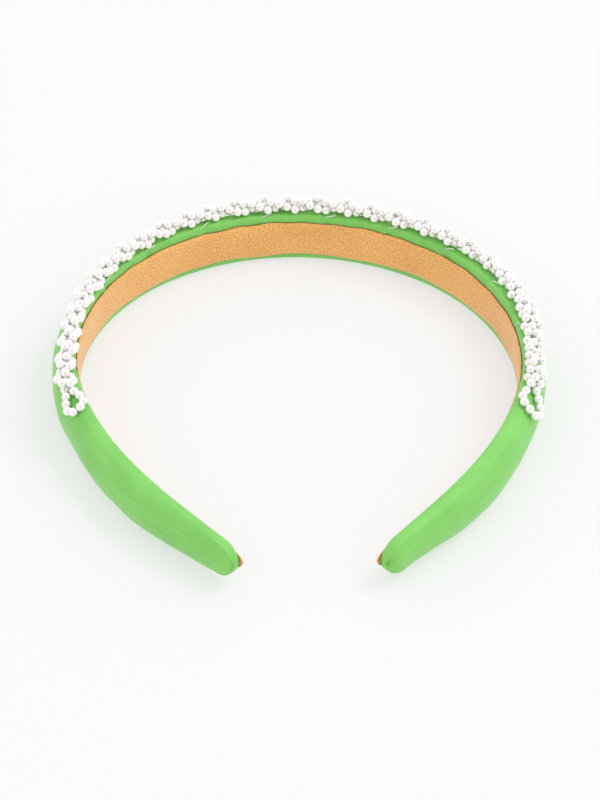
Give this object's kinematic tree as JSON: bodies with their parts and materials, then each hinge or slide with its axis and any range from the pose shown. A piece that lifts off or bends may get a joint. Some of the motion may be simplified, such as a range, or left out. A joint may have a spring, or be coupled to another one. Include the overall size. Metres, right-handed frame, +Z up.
{
  "type": "padded headband",
  "caption": "Padded satin hair band with a suede lining and a plaited bead trim tacked along its upper shoulder, lying on its edge.",
  "frame": {"origin": "on the resting surface, under the middle of the band's box; the band lies on its long edge", "axes": "+Z up across the band's width, +Y from the open tips towards the crown, +X to the right of a viewer at the tips; the band mirrors about X = 0 apart from the plait"},
  "size_m": [0.1478, 0.1556, 0.0228],
  "materials": {
    "core_plastic": "moulded, slightly flexible",
    "foam": "open-cell sponge",
    "green_satin": "satin weave, soft sheen",
    "tan_suede": "brushed faux suede, matt",
    "pearl_bead": "pearl lacquer over plastic",
    "thread": "thin nylon thread"
  },
  "bodies": {
    "root": {"core_strip": "core_plastic", "foam_pad": "foam", "satin_cover": "green_satin", "suede_lining": "tan_suede", "pearl_strand_1": "pearl_bead", "pearl_strand_2": "pearl_bead", "pearl_strand_3": "pearl_bead", "inner_tack_01": "thread", "outer_tack_01": "thread", "inner_tack_02": "thread", "outer_tack_02": "thread", "inner_tack_03": "thread", "outer_tack_03": "thread", "inner_tack_04": "thread", "outer_tack_04": "thread", "inner_tack_05": "thread", "outer_tack_05": "thread", "inner_tack_06": "thread", "outer_tack_06": "thread", "inner_tack_07": "thread", "outer_tack_07": "thread", "inner_tack_08": "thread", "outer_tack_08": "thread", "inner_tack_09": "thread", "outer_tack_09": "thread", "inner_tack_10": "thread", "outer_tack_10": "thread", "inner_tack_11": "thread", "outer_tack_11": "thread", "inner_tack_12": "thread", "outer_tack_12": "thread"}
  },
  "joints": []
}
